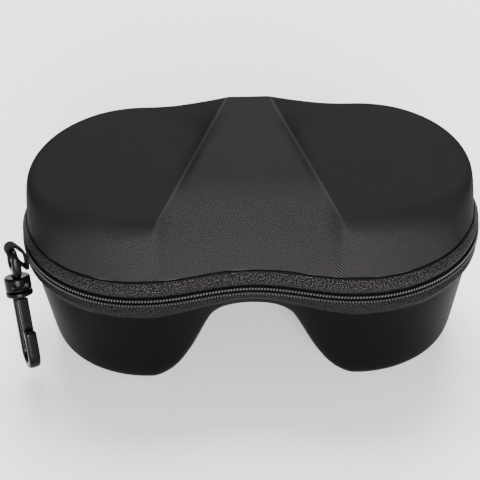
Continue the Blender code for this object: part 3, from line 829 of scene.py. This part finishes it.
class CASE_OT_hinge(bpy.types.Operator):
    """Build the cloth hinge across the rear"""
    bl_idname = "goggle_case.hinge"
    bl_label = "Cloth hinge"

    def execute(self, context):
        height = 9.6 * MM
        up = np.linspace(-height, height, 49)
        lean = np.clip((np.abs(up) - 6 * MM) / (3.6 * MM), 0, 1) * 1.4 * MM
        x = np.linspace(-HINGE_ENDS, HINGE_ENDS, 93)
        outer = np.stack(np.broadcast_arrays(x[None, :], (END_RADIUS - lean)[:, None],
                                             up[:, None]), axis=-1)
        inner = outer[::-1] - (0, 0.8 * MM, 0)
        girth = np.concatenate([up, up[::-1], up[:1]]) + height
        hinge = grid_piece("hinge_cloth", np.concatenate([outer, inner]), **STRIP, cloth=(x, girth))
        cloth = ribbed_cloth("hinge_ribbed", context.scene.case_colours.tape, 1.1 * MM)
        give(hinge, cloth, None, "binding_cloth", "hinge_cloth_lower", "hinge_cloth_upper")
        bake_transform(hinge)
        return {"FINISHED"}


# Slider, strap and hook ---------------------------------------------------------------------
def local_frame(place, x, y, z):
    """A matrix from millimetres in a joint's frame to metres in the object's."""
    return Matrix([[x[i] * MM, y[i] * MM, z[i] * MM, place[i]] for i in range(3)] + [[0, 0, 0, 1]])


def hook_frames():
    """Frames of the eye, with X along its bar, and of the hook, with Y along the gate's pin."""
    place = Vector(JOINTS["eye_swing"]["pos_m"])
    up = Vector(JOINTS["hook_swivel"]["axis"])
    bar, pin = -Vector(JOINTS["eye_swing"]["axis"]), -Vector(JOINTS["gate_flex"]["axis"])
    return local_frame(place, bar, up.cross(bar), up), local_frame(place, pin.cross(up), pin, up)


def placed(grid, matrix):
    """Points of a local grid at their place on the object."""
    matrix = np.array(matrix)
    return grid @ matrix[:3, :3].T + matrix[:3, 3]


def swept(path, normal, half_in, half_across, power=2.0, sides=20, closed=False):
    """Points of a bar along a flat path, sides by stations.

    Its section is the superellipse (|a| / half_in)^power + (|b| / half_across)^power = 1, with a
    in the plane of the path and b along the path's normal."""
    path, normal = np.asarray(path, float), np.asarray(normal, float)
    ahead = np.roll(path, -1, 0) - np.roll(path, 1, 0) if closed else np.gradient(path, axis=0)
    ahead /= np.linalg.norm(ahead, axis=1, keepdims=True)
    inward = np.cross(normal, ahead)
    p = (np.arange(sides) + 0.5) * (math.tau / sides)
    a = np.sign(np.cos(p)) * np.abs(np.cos(p)) ** (2 / power)
    b = np.sign(np.sin(p)) * np.abs(np.sin(p)) ** (2 / power)
    half_in, half_across = (np.broadcast_to(half, len(path)) for half in (half_in, half_across))
    return (path[None] + (a[:, None] * half_in)[..., None] * inward
            + (b[:, None] * half_across)[..., None] * normal)


def turned(profile, sides=72):
    """Points of a profile of (radius, height) pairs turned about Z."""
    r, z = np.array(profile).T
    angle = np.arange(sides) * (math.tau / sides)
    return np.stack([r[:, None] * np.cos(angle), r[:, None] * np.sin(angle),
                     z[:, None] + 0 * angle], axis=-1)


def dome(t, reach):
    """Scale that closes a bar in a quarter ellipse over the last reach of t, from 0 to 1."""
    return np.sqrt(np.clip(1 - np.clip((t - 1 + reach) / reach, 0, 1) ** 2, 0, 1))


def arc_path(centre, radius, start, stop, count):
    """Points of a circular arc in the XZ plane, in degrees."""
    angle = np.radians(np.linspace(start, stop, count))
    return np.stack([centre[0] + radius * np.cos(angle), 0 * angle,
                     centre[1] + radius * np.sin(angle)], axis=1)


def solid(name, grid, matrix, **wrap):
    return grid_piece(name, placed(grid, matrix), origin=(0, 0, 0), **wrap)


def joined(name, *parts):
    """One piece from several closed parts, as their modifiers leave them."""
    work = bmesh.new()
    graph = bpy.context.evaluated_depsgraph_get()
    for part in parts:
        work.from_mesh(part.evaluated_get(graph).to_mesh())
        bpy.data.objects.remove(part)
    mesh = bpy.data.meshes.new(name)
    work.to_mesh(mesh)
    work.free()
    return linked(name, mesh, SHARP_MOULDED)


def eye_piece(eye):
    """The hook's eye: a rounded rectangle, broader below its bar, with its headed stem."""
    half, drop, corner, wire = 6.4, 9.5, 3.0, 1.3
    path = np.concatenate([arc_path((sx * (half - corner), z), corner, start, start - 90, 9)
                           for sx, z, start in ((1, -corner, 90), (1, corner - drop, 0),
                                                (-1, corner - drop, -90), (-1, -corner, 180))])
    broad = wire + 0.7 * between(-1, -4, path[:, 2])
    bar = solid("eye_ring", swept(path, (0, 1, 0), wire, broad, 2.4, 28, closed=True), eye,
                wrap_rows=True)
    stem = rounded([(0, -9.6), (1.8, -9.6), (1.8, -15.0), (3.1, -15.0), (3.1, -16.4), (0, -16.4)],
                   0.35, 4, closed=False)
    return joined("snap_hook_eye", bar, solid("eye_stem", turned(stem), eye))


def body_piece(hook):
    """The hook's swivel collar, flange and curved shank with its nose."""
    profile = rounded([(0, -16), (2.2, -16), (2.2, -11.9), (5.3, -11.9), (5.75, -12.6),
                       (5.75, -17.6), (3.6, -17.7), (3.6, -18.4), (5.9, -18.5), (5.9, -20.4),
                       (0, -20.4)], 0.35, 5, closed=False)
    collar = solid("collar", turned(profile), hook)
    window = solid("collar_window", swept(np.array([(-7, 0, -15.7), (0, 0, -15.7), (7, 0, -15.7)]),
                                          (0, 1, 0), 1.3, 3.7, 8, 32), hook, **STRIP)
    cut = collar.modifiers.new("window", "BOOLEAN")
    cut.operation = "DIFFERENCE"
    cut.object = window
    bend, reach = (-1.0, -47.0), 5.85
    down = np.linspace(-19.0, bend[1], 40)[:-1]
    flare = np.clip((down + 24) / 5, 0, 1)
    limb = np.stack([bend[0] + reach - 0.85 * flare, 0 * down, down], axis=1)
    up = np.linspace(bend[1], -35.4, 26)[1:]
    nose = np.stack([bend[0] - reach + 0 * up, 0 * up, up], axis=1)
    path = np.concatenate([limb, arc_path(bend, reach, 0, -180, 49), nose])
    close = np.ones(len(path))
    close[-len(nose):] = dome(np.linspace(0, 1, len(nose)), 0.16)
    thick = np.full(len(path), 1.65)
    thick[:len(limb)] += 0.85 * flare
    shank = solid("shank", swept(path, (0, 1, 0), thick * close, 2.6 * close, 3.2, 40), hook, **STRIP)
    piece = joined("snap_hook_body", collar, shank)
    bpy.data.objects.remove(window)
    return piece


def gate_piece(hook):
    """The hook's sprung gate: a flat tongue, thinner and domed at its free end."""
    t = np.linspace(0, 1, 60)
    path = np.stack([-4.1 + 0 * t, 0 * t, -20.8 - 20.2 * t], axis=1)
    close = dome(t, 0.05) * dome(1 - t, 0.04)
    return solid("snap_hook_gate", swept(path, (0, 1, 0), (0.8 - 0.25 * t ** 6) * close,
                                         2.3 * close, 5, 28), hook,
                 wrap_rows=True, wrap_columns=False)


def loop_piece(eye):
    """The webbing loop: one ply round the eye's bar and down to its sewn foot on the case."""
    top = arc_path((0, 0), 2.45, 60, 235, 16)
    path = np.concatenate([top, [(3.4, 0, -7.4), (4.6, 0, -8.8), (5.3, 0, -8.2), (5.3, 0, -4.6),
                                 (4.9, 0, -2.4), (4.2, 0, -1.2)]])
    for _ in range(3):
        after = np.roll(path, -1, 0)
        path = np.stack([path * 0.75 + after * 0.25, path * 0.25 + after * 0.75], 1).reshape(-1, 3)
    path = np.stack([0 * path[:, 0], path[:, 0], path[:, 2]], axis=1)
    grid = swept(path, (1, 0, 0), 0.58, 4.5, 6, 36, closed=True)
    run = np.concatenate([[0], np.cumsum(np.linalg.norm(np.roll(path, -1, 0) - path, axis=1))])
    girth = np.linspace(0, 1, 37) * 20
    return solid("hook_webbing_loop", grid, eye, wrap_rows=True, cloth=(run * MM, girth * MM))


def slider_piece(pull):
    """The slider: two plates joined by a diamond, curved with the zip line, and its bail."""
    t = np.linspace(-1, 1, 33)
    middle = math.atan2(JOINTS["pull_swing"]["pos_m"][1] - PLAN_Y,
                        JOINTS["pull_swing"]["pos_m"][0] - SPINE)
    angle = middle + t * math.radians(5.3)
    columns = (SPINE + 0 * t, np.cos(angle), np.sin(angle))
    narrow = 1 - 0.32 * np.clip((np.abs(t) - 0.55) / 0.45, 0, 1) ** 2
    section = rounded([(-2.1, -3.4), (-1.3, -3.4), (-1.3, -0.2), (2.2, -0.2), (2.2, -3.3),
                       (3.0, -3.3), (3.0, 3.3), (2.2, 3.3), (2.2, 0.2), (-1.3, 0.2), (-1.3, 3.4),
                       (-2.1, 3.4)], 0.3, 4)
    rows = [edge_ring(columns, inset * MM, 0, 1) + np.stack([0 * t, 0 * t, up * MM * narrow], 1)
            for inset, up in section]
    body = grid_piece("slider_plates", np.stack(rows), **STRIP)
    path = rounded([(-3.7, -3.2, 0), (-1.2, -3.2, 0), (0, -2.2, 0), (0, 2.2, 0), (-1.2, 3.2, 0),
                    (-3.7, 3.2, 0)], 1.1, 7, closed=False)
    bail = solid("slider_bail", swept(path, (0, 0, 1), 0.7, 0.7, sides=16), pull, **STRIP)
    return joined("zip_slider_casting", body, bail)


def pull_piece(pull):
    """The pull: a ring in the bail and a ribbed tab with a rounded end."""
    ring_part = solid("pull_ring", swept(arc_path((0, 0), 2.0, 0, 350, 36), (0, 1, 0), 0.5, 0.5,
                                         sides=14, closed=True), pull, wrap_rows=True)
    t = np.linspace(0, 1, 121)
    path = np.stack([0 * t, 0 * t, -2.1 - 22 * t], axis=1)
    close = dome(t, 0.12) * dome(1 - t, 0.03)
    grip = between(0.3, 0.36, t) * between(0.92, 0.86, t)
    thick = 0.8 - grip * (0.16 + 0.14 * np.cos(math.tau * t * 14))
    width = 2.1 + 0.9 * between(0.0, 0.28, t)
    tab = solid("pull_tab", swept(path, (0, 1, 0), thick * close, width * close, 5, 28), pull,
                wrap_rows=True, wrap_columns=False)
    return joined("zip_pull_tab", ring_part, tab)


class CASE_OT_hardware(bpy.types.Operator):
    """Build the slider, its pull, the strap loop and the snap hook"""
    bl_idname = "goggle_case.hardware"
    bl_label = "Slider, strap and hook"

    def execute(self, context):
        colours = context.scene.case_colours
        plastic = glossy_moulding("hook_acetal", colours.hook, 0.2, 0.08)
        metal = lacquered_casting("slider_lacquer")
        webbing = ribbed_cloth("loop_webbing", scaled(colours.tape, 0.45), 0.8 * MM)
        eye, hook = hook_frames()
        pin, up = -Vector(JOINTS["pull_swing"]["axis"]), Vector((0, 0, 1))
        pull = local_frame(JOINTS["pull_swing"]["pos_m"], pin.cross(up), pin, up)
        give(loop_piece(eye), webbing, "base", "webbing", "hook_strap_loop")
        give(eye_piece(eye), plastic, "eye", "hook_plastic", "hook_eye")
        give(body_piece(hook), plastic, "hook", "hook_plastic", "hook_body")
        give(gate_piece(hook), plastic, "gate", "hook_plastic", "hook_gate")
        give(slider_piece(pull), metal, "slider", "slider_metal", "zip_slider")
        give(pull_piece(pull), metal, "pull", "slider_metal", "zip_pull")
        return {"FINISHED"}


# Stage ------------------------------------------------------------------------------------
class CASE_OT_stage(bpy.types.Operator):
    """Set the floor, the lights and the camera"""
    bl_idname = "goggle_case.stage"
    bl_label = "Stage"

    def execute(self, context):
        scene = context.scene
        bpy.ops.mesh.primitive_plane_add(size=6, location=(0, 0, -0.2 * MM))
        floor = context.object
        floor.name = "floor"
        floor.data.materials.append(Finish("floor_paper").surface(
            Base_Color=(0.93, 0.93, 0.93, 1), Roughness=0.9))
        world = bpy.data.worlds.new("studio")
        world.use_nodes = True
        world.node_tree.nodes["Background"].inputs[0].default_value = (1, 1, 1, 1)
        world.node_tree.nodes["Background"].inputs[1].default_value = 0.42
        scene.world = world
        self.light("rear_top", (0.05, 1.35, 1.8), 1.6, 135.0, (1, 1, 1))
        self.light("front", (0.15, -1.5, 0.50), 0.8, 84.0, (1, 0.94, 0.92))
        self.camera(scene)
        return {"FINISHED"}

    def light(self, name, place, size, power, colour):
        data = bpy.data.lights.new(name, "AREA")
        data.size = size
        data.energy = power
        data.color = colour
        lamp = bpy.data.objects.new(name, data)
        lamp.location = place
        aim = Vector((0, PLAN_Y, ZIP_Z)) - Vector(place)
        lamp.rotation_euler = aim.to_track_quat("-Z", "Y").to_euler()
        bpy.context.scene.collection.objects.link(lamp)

    def camera(self, scene):
        """Three-quarter front view: 37 degrees up, square to the front."""
        distance, turn, lift, roll = 0.6, math.radians(0.6), math.radians(37), math.radians(1.5)
        back = Vector((math.sin(turn) * math.cos(lift), -math.cos(turn) * math.cos(lift),
                       math.sin(lift)))
        right = Vector((math.cos(turn), math.sin(turn), 0))
        up = back.cross(right)
        side = right * math.cos(roll) - up * math.sin(roll)
        top = right * math.sin(roll) + up * math.cos(roll)
        data = bpy.data.cameras.new("camera")
        data.sensor_width = 36
        data.lens = 101.1
        data.shift_x = -0.021875
        data.shift_y = -0.0364583
        camera = bpy.data.objects.new("camera", data)
        place = Vector((0, PLAN_Y, ZIP_Z)) + back * distance
        camera.matrix_world = Matrix((
            (side.x, top.x, back.x, place.x), (side.y, top.y, back.y, place.y),
            (side.z, top.z, back.z, place.z), (0, 0, 0, 1)))
        scene.collection.objects.link(camera)
        scene.camera = camera


class CASE_PT_panel(bpy.types.Panel):
    bl_idname = "CASE_PT_panel"
    bl_label = "Goggle case"
    bl_space_type = "VIEW_3D"
    bl_region_type = "UI"
    bl_category = "Goggle case"

    def draw(self, context):
        for group in (context.scene.case_shape, context.scene.case_colours):
            for name in group.__annotations__:
                self.layout.prop(group, name)
        for operator in OPERATORS:
            self.layout.operator(operator.bl_idname)


OPERATORS = (CASE_OT_stage, CASE_OT_lid_shell, CASE_OT_base_shell, CASE_OT_bands, CASE_OT_coils,
             CASE_OT_hinge, CASE_OT_hardware)
CLASSES = (CaseShape, CaseColours, *OPERATORS, CASE_PT_panel)


def register():
    for one in CLASSES:
        bpy.utils.register_class(one)
    bpy.types.Scene.case_shape = PointerProperty(type=CaseShape)
    bpy.types.Scene.case_colours = PointerProperty(type=CaseColours)


def unregister():
    del bpy.types.Scene.case_shape
    del bpy.types.Scene.case_colours
    for one in reversed(CLASSES):
        bpy.utils.unregister_class(one)


def main():
    register()
    for operator in OPERATORS:
        group, name = operator.bl_idname.split(".")
        getattr(getattr(bpy.ops, group), name)()


if __name__ == "__main__":
    main()
